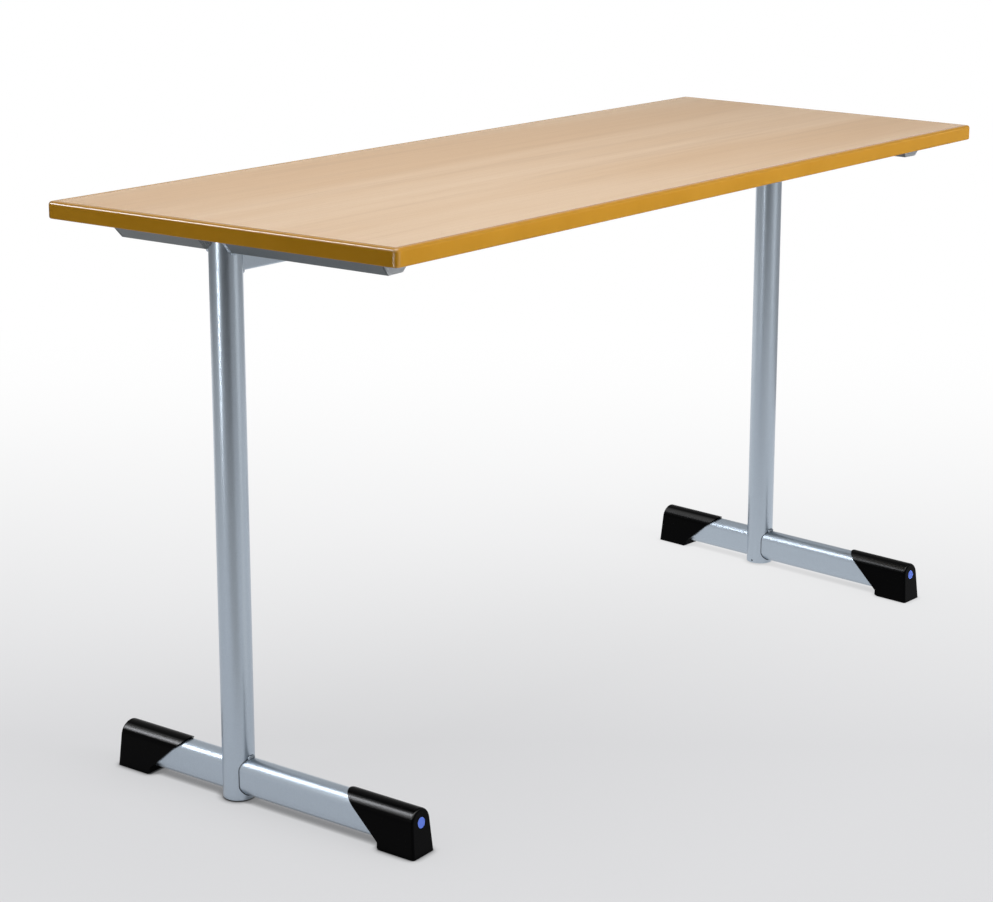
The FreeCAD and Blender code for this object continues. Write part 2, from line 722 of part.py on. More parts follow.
nodes = [
    build_core(),
    build_laminate("top_laminate", "Sizes.top_height - Sizes.laminate_thickness", False),
    build_laminate("backing_laminate", UNDERSIDE, True),
    build_edge_moulding(),
    build_rail(),
    build_rail_welds(),
]
for name, side in SIDES.items():
    nodes += [
        build_column(name, side),
        build_plug(name, side),
        build_foot_tube(name, side),
        build_foot_welds(name, side),
        build_bearer(name, side),
        build_bearer_welds(name, side),
        build_screws(name, side),
        build_cap(f"{name}_front_cap", side, False),
        build_cap(f"{name}_back_cap", side, True),
        build_mark(f"{name}_front_size_mark", side, False),
        build_mark(f"{name}_back_size_mark", side, True),
    ]
doc.recompute()

for made in doc.Objects:
    if "Invalid" in made.State or "Error" in made.State:
        raise RuntimeError(f"{made.Label} did not rebuild: {made.State}")
os.makedirs("parts", exist_ok=True)
for node in nodes:
    if node.Shape.isNull() or not node.Shape.isValid():
        raise RuntimeError(f"{node.Label} has no valid shape")
    node.Shape.exportStep(f"parts/{node.Label}.step")
    print(node.Label, len(node.Shape.Solids), round(node.Shape.Volume / 1000, 2))
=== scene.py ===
import json
import math

import bmesh
import bpy
from mathutils import Matrix, Vector


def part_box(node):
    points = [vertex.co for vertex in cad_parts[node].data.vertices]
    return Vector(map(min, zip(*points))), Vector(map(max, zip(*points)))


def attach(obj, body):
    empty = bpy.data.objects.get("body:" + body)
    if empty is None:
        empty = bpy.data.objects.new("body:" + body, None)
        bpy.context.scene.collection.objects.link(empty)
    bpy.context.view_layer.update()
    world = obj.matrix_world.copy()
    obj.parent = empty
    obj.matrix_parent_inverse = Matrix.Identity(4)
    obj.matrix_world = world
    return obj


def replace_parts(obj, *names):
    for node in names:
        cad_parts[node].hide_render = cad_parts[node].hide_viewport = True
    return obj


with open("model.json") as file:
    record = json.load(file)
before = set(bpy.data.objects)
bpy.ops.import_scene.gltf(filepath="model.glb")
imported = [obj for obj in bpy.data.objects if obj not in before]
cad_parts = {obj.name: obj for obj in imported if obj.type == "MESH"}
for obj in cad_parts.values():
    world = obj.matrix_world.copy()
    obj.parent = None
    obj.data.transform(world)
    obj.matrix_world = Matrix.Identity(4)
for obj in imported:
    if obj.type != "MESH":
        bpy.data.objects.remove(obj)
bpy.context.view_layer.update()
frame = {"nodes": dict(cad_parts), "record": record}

# A two-person school desk: beech-look board with an amber cast edge on two welded silver frames.
# Metres, +Z up, the floor at Z = 0 and +X along the desk, as in the solid model.

SIDES = ("left", "right")

# Both leg frames are splayed like the board's ends.
END_LEAN = 0.030
TOP_DEPTH = 0.555
SPLAY = math.atan(END_LEAN / TOP_DEPTH)

# Weld beads; the arcs are half angles round a column, in degrees.
WELD_CLEARANCE = 0.0006
BEAD_WIDTH = 0.0056
RIPPLE_PITCH = 0.0013
RIPPLE_SIZES = (0.86, 1.10)
WELD_SEED = 4
CROWN_ARC = 12.0
COLLAR_ARC = 28.0
ARC_STEPS = 8
# Welds on the bearer's sloping flanks: places along the foot, then the distance from the middle
# and the height above the bearer's underside at the low and at the high end.
FRONT_FLANK_WELD = -0.0200
BACK_FLANK_WELDS = (0.0065, 0.0110, 0.0155, 0.0200)
FLANK_LOW = (0.0140, 0.003)
FLANK_HIGH = (0.0250, 0.016)
FLANK_STEPS = 6

# Screws through the bearer's flanges; the profile and the recess are for a head of unit diameter.
FLANGE_THICKNESS = 0.002
SCREW_ROW = 0.039
SCREW_PITCH = 0.170
SCREW_DIAMETER = 0.011
SCREW_SEED = 9
SCREW_PROFILE = (
    (0.0, -0.24), (0.16, -0.235), (0.32, -0.20), (0.43, -0.13),
    (0.49, -0.05), (0.5, 0.0), (0.2, 0.0), (0.2, 0.5),
)
SCREW_STEPS = 32
RECESS_SIZE = (0.56, 0.13, 0.3)
RECESS_MIDDLE = -0.21
RECESS_TAPER = 0.45

# Tones, as red, green and blue
WHITE = (1.0, 1.0, 1.0)
# Painted shade for crevices and gaps in the frame's paint
PAINTED_CREVICE_SHADE = (0.012, 0.012, 0.013)
FLOOR_GREY = (0.740, 0.742, 0.756)
FLOOR_BOUNCE = (0.42, 0.42, 0.43)
FILL_TINT = (0.94, 0.97, 1.0)
CARD_TINT = (1.0, 0.99, 0.98)
GLINT_TINT = (0.93, 0.95, 1.0)

# The middle part of a noise's values, and how near another surface must be for painted shade
NOISE_LOW = 0.3
NOISE_HIGH = 0.7
CREVICE_SHADE_REACH = 0.004

# Stage: reach, closed and clear ends of the occlusion, and the deepest shade, from wide to close
CONTACT_SHADES = ((0.10, 0.0, 1.0, 0.84), (0.012, 0.5, 0.95, 0.36), (0.004, 0.3, 0.9, 0.10))
FLOOR_SIZE = 60.0
PHOTO_DEPTH = (0.799, 0.601, 0.0)
BACKDROP_BRIGHT_SIDE = (-0.55, 0.84, 0.0)
FILL_STRENGTH = 0.12
CARD_HEIGHT = 0.002
LIP_RISE = (0.003, 0.05)

# Camera, with its image sizes in the photo's pixels
IMAGE_WIDTH = 993
IMAGE_HEIGHT = 902
AXIS_ROW = 330.0
FOCAL_PIXELS = 2309.49
SENSOR_WIDTH = 36.0
CAMERA_PLACE = (-2.55257, -1.94547, 1.23227)
CAMERA_AZIMUTH = math.radians(-50.97)
CAMERA_ELEVATION = math.radians(12.64)


# Node helpers

def fill_in(tree, made, inputs):
    """Fills a node's inputs, each with a socket to link or with a value."""
    for key, value in inputs.items():
        socket = made.inputs[key]
        if isinstance(value, bpy.types.NodeSocket):
            tree.links.new(value, socket)
        elif socket.type == "RGBA":
            socket.default_value = (*value, 1.0)
        else:
            socket.default_value = value


def node(tree, kind, inputs=None, **settings):
    """A new node with its settings made before its inputs."""
    made = tree.nodes.new(kind)
    for key, value in settings.items():
        setattr(made, key, value)
    fill_in(tree, made, inputs or {})
    return made


def new_finish(name):
    """A material with a Principled shader, and its node tree and shader."""
    finish = bpy.data.materials.new(name)
    finish.use_nodes = True
    tree = finish.node_tree
    return finish, tree, tree.nodes["Principled BSDF"]


def bare_finish(name):
    """A material with an empty node tree, and that tree."""
    finish = bpy.data.materials.new(name)
    finish.use_nodes = True
    finish.node_tree.nodes.clear()
    return finish, finish.node_tree


def stretched(tree, scale=(1.0, 1.0, 1.0), turn=0.0):
    """Object coordinates stretched by a scale and turned about Z by an angle in degrees."""
    inputs = {
        "Vector": node(tree, "ShaderNodeTexCoord").outputs["Object"],
        "Scale": scale,
        "Rotation": (0.0, 0.0, math.radians(turn)),
    }
    return node(tree, "ShaderNodeMapping", inputs).outputs["Vector"]


def noise(tree, vector, scale, detail=2.0, roughness=0.5, distortion=0.0):
    inputs = {
        "Vector": vector,
        "Scale": scale,
        "Detail": detail,
        "Roughness": roughness,
        "Distortion": distortion,
    }
    return node(tree, "ShaderNodeTexNoise", inputs).outputs["Fac"]


def between(tree, value, low, high, to_low=0.0, to_high=1.0):
    """The value spread from one range to another, held at both ends."""
    inputs = {"Value": value, "From Min": low, "From Max": high, "To Min": to_low, "To Max": to_high}
    return node(tree, "ShaderNodeMapRange", inputs).outputs["Result"]


def evened(tree, value, to_low=0.0, to_high=1.0):
    """The middle part of a noise spread over a range."""
    return between(tree, value, NOISE_LOW, NOISE_HIGH, to_low, to_high)


def calculate(tree, operation, *values):
    """The result of a calculation with one or two values, each a socket or a number."""
    return node(tree, "ShaderNodeMath", dict(enumerate(values)), operation=operation).outputs["Value"]


def along(tree, vector, direction):
    """How far a vector goes along a direction."""
    inputs = {0: vector, 1: direction}
    return node(tree, "ShaderNodeVectorMath", inputs, operation="DOT_PRODUCT").outputs["Value"]


def blend_numbers(tree, factor, first, second):
    inputs = {"Factor": factor, "A": first, "B": second}
    return node(tree, "ShaderNodeMix", inputs, data_type="FLOAT").outputs["Result"]


def blend_colours(tree, factor, first, second):
    inputs = {0: factor, 6: first, 7: second}
    return node(tree, "ShaderNodeMix", inputs, data_type="RGBA").outputs[2]


def mix_shaders(tree, factor, first, second):
    return node(tree, "ShaderNodeMixShader", {"Fac": factor, 1: first, 2: second}).outputs["Shader"]


def bump(tree, shader, height, distance):
    inputs = {"Height": height, "Distance": distance, "Strength": 1.0}
    fill_in(tree, shader, {"Normal": node(tree, "ShaderNodeBump", inputs).outputs["Normal"]})


def painted_sheen_by_facing(tree, height, rise, fall, matt, sheen_peak, level):
    """A specular level that goes from matt sides to a painted sheen on the shoulder and on to a level top."""
    shoulder = between(tree, height, *rise, matt, sheen_peak)
    return blend_numbers(tree, between(tree, height, *fall), shoulder, level)


def facing_parts(tree):
    """The parts of the surface's direction along X, Y and Z."""
    facing = node(tree, "ShaderNodeNewGeometry").outputs["Normal"]
    return node(tree, "ShaderNodeSeparateXYZ", {"Vector": facing}).outputs


def paint_crevice_shade(tree, colour):
    """The colour with painted shade, darker where another surface is very near."""
    near = node(tree, "ShaderNodeAmbientOcclusion", {"Distance": CREVICE_SHADE_REACH}, samples=8)
    return blend_colours(tree, between(tree, near.outputs["AO"], 0.15, 0.75), PAINTED_CREVICE_SHADE, colour)


# Finishes

def beech_laminate():
    """Beech print: broad soft bands, narrow streaks and short flecks, all along the desk."""
    finish, tree, shader = new_finish("beech_laminate")
    bands = noise(tree, stretched(tree, (0.55, 8.0, 1.0), 1.5), 1.0, 2.0, 0.5, 0.5)
    streaks = noise(tree, stretched(tree, (1.7, 46.0, 1.0), 1.0), 1.0, 3.0, 0.6, 0.3)
    fine = noise(tree, stretched(tree, (7.0, 420.0, 1.0)), 1.0, 3.0, 0.6)
    flecks = noise(tree, stretched(tree, (190.0, 2100.0, 1.0)), 1.0, 1.0)
    pale = (0.750, 0.558, 0.384)
    warm = (0.674, 0.460, 0.280)
    streak = (0.565, 0.370, 0.222)
    hair = (0.600, 0.400, 0.245)
    fleck = (0.430, 0.255, 0.135)
    colour = blend_colours(tree, between(tree, bands, 0.36, 0.66), pale, warm)
    colour = blend_colours(tree, between(tree, streaks, 0.52, 0.78, 0.0, 0.45), colour, streak)
    colour = blend_colours(tree, between(tree, fine, 0.45, 0.75, 0.0, 0.30), colour, hair)
    colour = blend_colours(tree, between(tree, flecks, 0.66, 0.74, 0.0, 0.35), colour, fleck)
    fill_in(tree, shader, {
        "Base Color": colour,
        "Roughness": evened(tree, fine, 0.40, 0.47),
        "Specular IOR Level": 0.16,
    })
    bump(tree, shader, flecks, 0.00003)
    return finish


def cast_edge():
    """Amber cast plastic, faintly cloudy, matt on its flats, with a painted sheen on arris, front and corners.
    """
    finish, tree, shader = new_finish("cast_edge")
    clouds = noise(tree, stretched(tree), 14.0, 3.0)
    skin = noise(tree, stretched(tree), 650.0)
    clear = (0.635, 0.308, 0.022)
    cloudy = (0.590, 0.280, 0.016)
    deep = (0.490, 0.230, 0.016)
    facing = facing_parts(tree)
    colour = blend_colours(tree, evened(tree, clouds), clear, cloudy)
    # Painted shade: the amber is darker where the edge faces up
    colour = blend_colours(tree, between(tree, facing["Z"], 0.3, 0.8), colour, deep)
    # Painted sheen: a higher specular level on the arris, the front faces and the corners, where the highlights
    # are to fall
    arris = painted_sheen_by_facing(
        tree, facing["Z"], rise=(0.15, 0.40), fall=(0.64, 0.84), matt=0.015, sheen_peak=0.80, level=0.05
    )
    front = between(tree, facing["Y"], -0.95, -0.90, 0.10, 0.0)
    slant = calculate(tree, "ABSOLUTE", calculate(tree, "MULTIPLY", facing["X"], facing["Y"]))
    corner = between(tree, slant, 0.06, 0.08, 0.0, 0.45)
    gloss = calculate(tree, "MAXIMUM", arris, calculate(tree, "MAXIMUM", front, corner))
    shader.inputs["Specular IOR Level"].default_value = 0.06
    fill_in(tree, shader, {
        "Base Color": colour,
        "Roughness": evened(tree, clouds, 0.09, 0.13),
        "IOR": 1.8,
        "Specular IOR Level": gloss,
    })
    bump(tree, shader, skin, 0.00001)
    return finish


def silver_powder_coat(name, dim, bright, metallic, ends=None):
    """Silver powder coat: fine bright and dim flakes under a slightly pebbled skin.

    A piece given a tone for its ends gets that tone where it faces front or back: painted light on those ends.
    """
    finish, tree, shader = new_finish(name)
    flakes = node(tree, "ShaderNodeTexVoronoi", {"Vector": stretched(tree), "Scale": 2600.0})
    flake = node(tree, "ShaderNodeSeparateColor", {"Color": flakes.outputs["Color"]}).outputs["Red"]
    pebbles = noise(tree, stretched(tree), 900.0)
    drift = noise(tree, stretched(tree), 6.0)
    colour = blend_colours(tree, flake, dim, bright)
    colour = blend_colours(tree, evened(tree, drift, 0.0, 0.15), colour, dim)
    # Painted light: the faces towards front and back take the lighter tone
    if ends:
        across = calculate(tree, "ABSOLUTE", facing_parts(tree)["Y"])
        colour = blend_colours(tree, between(tree, across, 0.5, 0.8), colour, ends)
    fill_in(tree, shader, {
        # Painted shade in crevices and in the gaps round the tubes
        "Base Color": paint_crevice_shade(tree, colour),
        "Metallic": metallic,
        "Roughness": evened(tree, pebbles, 0.29, 0.32),
    })
    bump(tree, shader, pebbles, 0.0000015)
    return finish


def moulded_plastic(name, grain_scale, drift_scale, tones, roughness):
    """Plastic with a fine eroded grain and a slow drift between two tones."""
    finish, tree, shader = new_finish(name)
    grain = noise(tree, stretched(tree), grain_scale)
    drift = noise(tree, stretched(tree), drift_scale)
    fill_in(tree, shader, {
        "Base Color": blend_colours(tree, evened(tree, drift), *tones),
        "Roughness": evened(tree, grain, *roughness),
    })
    bump(tree, shader, grain, 0.00002)
    return finish, tree, shader


def black_cap_plastic():
    """Black moulded plastic, matt on its sides, with a painted sheen on its shoulders."""
    deep = (0.0005, 0.0005, 0.0007)
    worn = (0.0010, 0.0010, 0.0013)
    finish, tree, shader = moulded_plastic(
        "black_cap_plastic", 2200.0, 40.0, (deep, worn), roughness=(0.23, 0.27)
    )
    # Painted sheen: a higher specular level on the shoulders, where the highlight is to fall
    shoulder = painted_sheen_by_facing(
        tree,
        facing_parts(tree)["Z"],
        rise=(0.46, 0.62),
        fall=(0.74, 0.88),
        matt=0.035,
        sheen_peak=0.80,
        level=0.04,
    )
    shader.inputs["Specular IOR Level"].default_value = 0.04
    fill_in(tree, shader, {"Specular IOR Level": shoulder})
    return finish


def blue_mark_plastic():
    fresh = (0.115, 0.215, 0.800)
    faded = (0.100, 0.190, 0.740)
    return moulded_plastic(
        "blue_mark_plastic", 1800.0, 120.0, (fresh, faded), roughness=(0.38, 0.48)
    )[0]


def chip_core():
    """Pressed wood chips, seen only where the board is open."""
    finish, tree, shader = new_finish("chip_core")
    chips = noise(tree, stretched(tree, (120.0, 120.0, 600.0)), 1.0, 4.0, 0.7)
    pale = (0.52, 0.36, 0.20)
    dark = (0.34, 0.21, 0.11)
    fill_in(tree, shader, {
        "Base Color": blend_colours(tree, evened(tree, chips), pale, dark),
        "Roughness": 0.8,
    })
    bump(tree, shader, chips, 0.0002)
    return finish


def backing_sheet():
    """Plain pale backing under the board with faint fibres along it."""
    finish, tree, shader = new_finish("backing_sheet")
    fibres = noise(tree, stretched(tree, (9.0, 240.0, 1.0)), 1.0, 3.0, 0.6)
    pale = (0.62, 0.55, 0.45)
    dull = (0.56, 0.48, 0.38)
    fill_in(tree, shader, {
        "Base Color": blend_colours(tree, evened(tree, fibres), pale, dull),
        "Roughness": evened(tree, fibres, 0.55, 0.65),
    })
    bump(tree, shader, fibres, 0.00003)
    return finish


def zinc_steel():
    """Zinc-plated steel with a fine change of tone from crystal to crystal."""
    finish, tree, shader = new_finish("zinc_steel")
    crystals = noise(tree, stretched(tree), 1400.0, 3.0)
    bright = (0.62, 0.63, 0.64)
    dull = (0.50, 0.51, 0.53)
    fill_in(tree, shader, {
        "Base Color": blend_colours(tree, evened(tree, crystals), bright, dull),
        "Metallic": 1.0,
        "Roughness": evened(tree, crystals, 0.28, 0.40),
    })
    return finish


FINISHES = {
    "beech_laminate": beech_laminate(),
    "core_board": chip_core(),
    "backing_sheet": backing_sheet(),
    "cast_edge": cast_edge(),
    "frame_paint": silver_powder_coat(
        "silver_powder_coat", dim=(0.446, 0.513, 0.590), bright=(0.526, 0.604, 0.686), metallic=0.88
    ),
    "cap_plastic": black_cap_plastic(),
    "mark_plastic": blue_mark_plastic(),
    "zinc_steel": zinc_steel(),
}
# The bearers get a darker copy of the frame's paint: painted shade for their place under the board, with painted
# light on their ends
SHADED_BEARER_COAT = silver_powder_coat(
    "bearer_shaded_coat",
    dim=(0.130, 0.150, 0.161),
    bright=(0.158, 0.181, 0.193),
    metallic=0.0,
    ends=(0.40, 0.42, 0.44),
)
for subpart in frame["record"]["subparts"]:
    frame["nodes"][subpart["node"]].data.materials[0] = FINISHES[subpart["material_slot"]]
for side in SIDES:
    frame["nodes"][side + "_bearer"].data.materials[0] = SHADED_BEARER_COAT


# Welds and screws, grown by node trees

def new_tree(name, sizes):
    """A geometry node tree with named inputs, each given as its socket type and value."""
    tree = bpy.data.node_groups.new(name, "GeometryNodeTree")
    tree.interface.new_socket("Geometry", in_out="INPUT", socket_type="NodeSocketGeometry")
    for label, (kind, value) in sizes.items():
        made = tree.interface.new_socket(label, in_out="INPUT", socket_type="NodeSocket" + kind)
        if kind in ("Float", "Int"):
            made.default_value = value
    tree.interface.new_socket("Geometry", in_out="OUTPUT", socket_type="NodeSocketGeometry")
    return tree, node(tree, "NodeGroupInput").outputs


def random_number(tree, low, high, seed):
    """A random number for each point, from the sockets for plain numbers of a random value node."""
    made = node(tree, "FunctionNodeRandomValue", {"Seed": seed}, data_type="FLOAT")
    limits = {"Min": low, "Max": high}
    for socket in made.inputs:
        if socket.type == "VALUE" and socket.name in limits:
            socket.default_value = limits[socket.name]
    return next(socket for socket in made.outputs if socket.type == "VALUE")


def finish_tree(tree, instances, material):
    """Ends a tree in real, smooth and painted geometry."""
    real = node(tree, "GeometryNodeRealizeInstances", {"Geometry": instances}).outputs["Geometry"]
    smooth = node(tree, "GeometryNodeSetShadeSmooth", {"Geometry": real}).outputs["Geometry"]
    painted = node(tree, "GeometryNodeSetMaterial", {"Geometry": smooth, "Material": material})
    node(tree, "NodeGroupOutput", {"Geometry": painted.outputs["Geometry"]})


def grow(name, mesh, tree, sizes):
    """A plain mesh object made by a tree from a carrier mesh; the inputs are set by identifier."""
    carrier = bpy.data.objects.new(name + "_carrier", mesh)
    bpy.context.collection.objects.link(carrier)
    modifier = carrier.modifiers.new("grow", "NODES")
    modifier.node_group = tree
    for item in tree.interface.items_tree:
        if item.name in sizes:
            modifier[item.identifier] = sizes[item.name][1]
    evaluated = carrier.evaluated_get(bpy.context.evaluated_depsgraph_get())
    grown = bpy.data.objects.new(name, bpy.data.meshes.new_from_object(evaluated))
    bpy.data.objects.remove(carrier)
    bpy.context.collection.objects.link(grown)
    return grown


def weld_tree(sizes):
    """Overlapping ripples of weld metal along every path of the carrier mesh."""
    tree, given = new_tree("weld_ripples", sizes)
    paths = node(tree, "GeometryNodeMeshToCurve", {"Mesh": given["Geometry"]}).outputs["Curve"]
    inputs = {"Curve": paths, "Length": given["Ripple Pitch"]}
    steps = node(tree, "GeometryNodeCurveToPoints", inputs, mode="LENGTH").outputs
    ripple = node(tree, "GeometryNodeMeshUVSphere", {"Segments": 14, "Rings": 8, "Radius": 0.5})
    shape = node(tree, "ShaderNodeCombineXYZ", {
        "X": given["Bead Width"],
        "Y": given["Bead Width"],
        "Z": calculate(tree, "MULTIPLY", given["Ripple Pitch"], 2.0),
    })
    inputs = {0: shape.outputs["Vector"], "Scale": random_number(tree, *RIPPLE_SIZES, given["Seed"])}
    uneven = node(tree, "ShaderNodeVectorMath", inputs, operation="SCALE")
    row = node(tree, "GeometryNodeInstanceOnPoints", {
        "Points": steps["Points"],
        "Rotation": steps["Rotation"],
        "Instance": ripple.outputs["Mesh"],
        "Scale": uneven.outputs["Vector"],
    })
    finish_tree(tree, row.outputs["Instances"], given["Finish"])
    return tree


def upward(height):
    return Vector((0.0, 0.0, height))


def frame_axes(side):
    """The column's middle and radius, and the frame's own directions along its foot and across it."""
    low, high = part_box(side + "_column")
    middle = Vector(((low[0] + high[0]) / 2, (low[1] + high[1]) / 2, 0.0))
    outward = -1.0 if side == "left" else 1.0
    lengthwise = Vector((outward * math.sin(SPLAY), math.cos(SPLAY), 0.0))
    across = Vector((lengthwise.y, -lengthwise.x, 0.0))
    return middle, (high[0] - low[0]) / 2, lengthwise, across


def weld_paths():
    """Where the beads run round each column, and where its bearer's flanks are filled up behind it."""
    beads = []
    fillets = []
    for side in SIDES:
        middle, radius, lengthwise, across = frame_axes(side)
        inward = across if side == "left" else -across
        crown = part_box(side + "_foot_tube")[1][2] + WELD_CLEARANCE
        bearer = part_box(side + "_bearer")[0][2]
        collar = bearer - WELD_CLEARANCE
        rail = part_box("long_rail")[0][2] - WELD_CLEARANCE
        arcs = (
            (lengthwise, crown, CROWN_ARC),
            (-lengthwise, crown, CROWN_ARC),
            (lengthwise, collar, COLLAR_ARC),
            (-lengthwise, collar, COLLAR_ARC),
            (inward, rail, COLLAR_ARC),
        )
        for direction, height, half_angle in arcs:
            sideways = Vector((-direction.y, direction.x, 0.0))
            turns = [math.radians(half_angle * step / ARC_STEPS) for step in range(-ARC_STEPS, ARC_STEPS + 1)]
            beads.append([
                middle
                + (radius + WELD_CLEARANCE) * (math.cos(turn) * direction + math.sin(turn) * sideways)
                + upward(height)
                for turn in turns
            ])
        for place in (FRONT_FLANK_WELD, *BACK_FLANK_WELDS):
            kept = beads if place == FRONT_FLANK_WELD else fillets
            for sidewise in (-1, 1):
                low, high = (
                    middle + place * lengthwise + sidewise * away * across + upward(bearer + rise)
                    for away, rise in (FLANK_LOW, FLANK_HIGH)
                )
                kept.append([low.lerp(high, step / FLANK_STEPS) for step in range(FLANK_STEPS + 1)])
    return beads, fillets


def weld_seams(name, paths, finish):
    """One piece of weld metal along all the given paths."""
    mesh = bpy.data.meshes.new(name + "_paths")
    spots = []
    links = []
    for path in paths:
        first = len(spots)
        spots += path
        links += [(first + i, first + i + 1) for i in range(len(path) - 1)]
    mesh.from_pydata(spots, links, [])
    sizes = {
        "Bead Width": ("Float", BEAD_WIDTH),
        "Ripple Pitch": ("Float", RIPPLE_PITCH),
        "Seed": ("Int", WELD_SEED),
        "Finish": ("Material", finish),
    }
    seams = grow(name, mesh, weld_tree(sizes), sizes)
    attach(seams, "root")
    return seams


def shape_object(name, shape):
    """An object of a finished shape, which is freed."""
    mesh = bpy.data.meshes.new(name)
    shape.to_mesh(mesh)
    shape.free()
    made = bpy.data.objects.new(name, mesh)
    bpy.context.collection.objects.link(made)
    return made


def screw_blank():
    """A pan head of unit diameter with its shank, turned from the profile."""
    turned = bmesh.new()
    rings = [turned.verts.new((away, 0.0, up)) for away, up in SCREW_PROFILE]
    outline = [turned.edges.new(pair) for pair in zip(rings, rings[1:])]
    bmesh.ops.spin(
        turned, geom=rings + outline, axis=(0, 0, 1), cent=(0, 0, 0), steps=SCREW_STEPS, angle=math.tau
    )
    bmesh.ops.remove_doubles(turned, verts=turned.verts, dist=0.0005)
    bmesh.ops.holes_fill(turned, edges=[edge for edge in turned.edges if edge.is_boundary])
    bmesh.ops.recalc_face_normals(turned, faces=turned.faces)
    return shape_object("screw_blank", turned)


def screw_punch():
    """Two crossed blades, narrower at their inner ends."""
    crossed = bmesh.new()
    length, width, depth = RECESS_SIZE
    for turn in (0.0, math.pi / 2):
        blade = bmesh.ops.create_cube(crossed, size=1.0)["verts"]
        for vert in blade:
            narrowing = 1.0 if vert.co.z < 0 else RECESS_TAPER
            vert.co = Vector((
                vert.co.x * length * narrowing,
                vert.co.y * width,
                vert.co.z * depth + RECESS_MIDDLE,
            ))
        bmesh.ops.rotate(crossed, verts=blade, cent=(0, 0, 0), matrix=Matrix.Rotation(turn, 3, "Z"))
    return shape_object("screw_punch", crossed)


def screw_head():
    """A pan-head screw of unit head diameter with a cross recess, its head below the seat at Z = 0."""
    blank = screw_blank()
    punch = screw_punch()
    cut = blank.modifiers.new("recess", "BOOLEAN")
    cut.object = punch
    cut.solver = "EXACT"
    cut.use_self = True
    evaluated = blank.evaluated_get(bpy.context.evaluated_depsgraph_get())
    finished = bpy.data.meshes.new_from_object(evaluated)
    bpy.data.objects.remove(blank)
    bpy.data.objects.remove(punch)
    return finished


def screw_tree(sizes):
    """One screw on every spot of the carrier mesh, each turned its own way."""
    tree, given = new_tree("bearer_screws", sizes)
    source = node(tree, "GeometryNodeObjectInfo", {"Object": given["Screw"]})
    spots = node(tree, "GeometryNodeMeshToPoints", {"Mesh": given["Geometry"]})
    turn = node(tree, "ShaderNodeCombineXYZ", {"Z": random_number(tree, 0.0, math.tau, given["Seed"])})
    row = node(tree, "GeometryNodeInstanceOnPoints", {
        "Points": spots.outputs["Points"],
        "Instance": source.outputs["Geometry"],
        "Rotation": turn.outputs["Vector"],
        "Scale": given["Head Diameter"],
    })
    finish_tree(tree, row.outputs["Instances"], given["Finish"])
    return tree


def bearer_screws():
    """Four screws in the flanges of each bearer."""
    spots = []
    for side in SIDES:
        low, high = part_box(side + "_bearer")
        middle = Vector(((low[0] + high[0]) / 2, (low[1] + high[1]) / 2, high[2] - FLANGE_THICKNESS))
        lengthwise, across = frame_axes(side)[2:]
        spots += [
            middle + row * SCREW_ROW * across + end * SCREW_PITCH * lengthwise
            for row in (-1, 1)
            for end in (-1, 1)
        ]
    mesh = bpy.data.meshes.new("screw_spots")
    mesh.from_pydata(spots, [], [])
    screw = bpy.data.objects.new("screw_pattern", screw_head())
    bpy.context.collection.objects.link(screw)
    sizes = {
        "Head Diameter": ("Float", SCREW_DIAMETER),
        "Seed": ("Int", SCREW_SEED),
        "Screw": ("Object", screw),
        "Finish": ("Material", FINISHES["zinc_steel"]),
    }
    screws = grow("bearer_screws", mesh, screw_tree(sizes), sizes)
    bpy.data.objects.remove(screw)
    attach(screws, "root")
    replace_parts(screws, "left_bearer_screws", "right_bearer_screws")


beads, fillets = weld_paths()
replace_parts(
    weld_seams("weld_beads", beads, FINISHES["frame_paint"]), "rail_welds", "left_foot_welds", "right_foot_welds"
)
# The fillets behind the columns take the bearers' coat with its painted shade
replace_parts(weld_seams("bearer_fillets", fillets, SHADED_BEARER_COAT), "left_bearer_welds", "right_bearer_welds")
bearer_screws()


# Stage, light and camera

def seen_rays(tree):
    """One for rays that show a surface, in the camera or in a reflection, and zero for bounced light."""
    path = node(tree, "ShaderNodeLightPath").outputs
    glossy = calculate(tree, "MAXIMUM", path["Is Camera Ray"], path["Is Glossy Ray"])
    return calculate(tree, "MAXIMUM", glossy, path["Is Transmission Ray"])


def contact_shade(tree, reach, closed, clear, deepest):
    """The shade on the floor close under a piece, from its deepest up to one in the open."""
    near = node(tree, "ShaderNodeAmbientOcclusion", {"Distance": reach}, samples=16)
    return between(tree, near.outputs["AO"], closed, clear, deepest, 1.0)


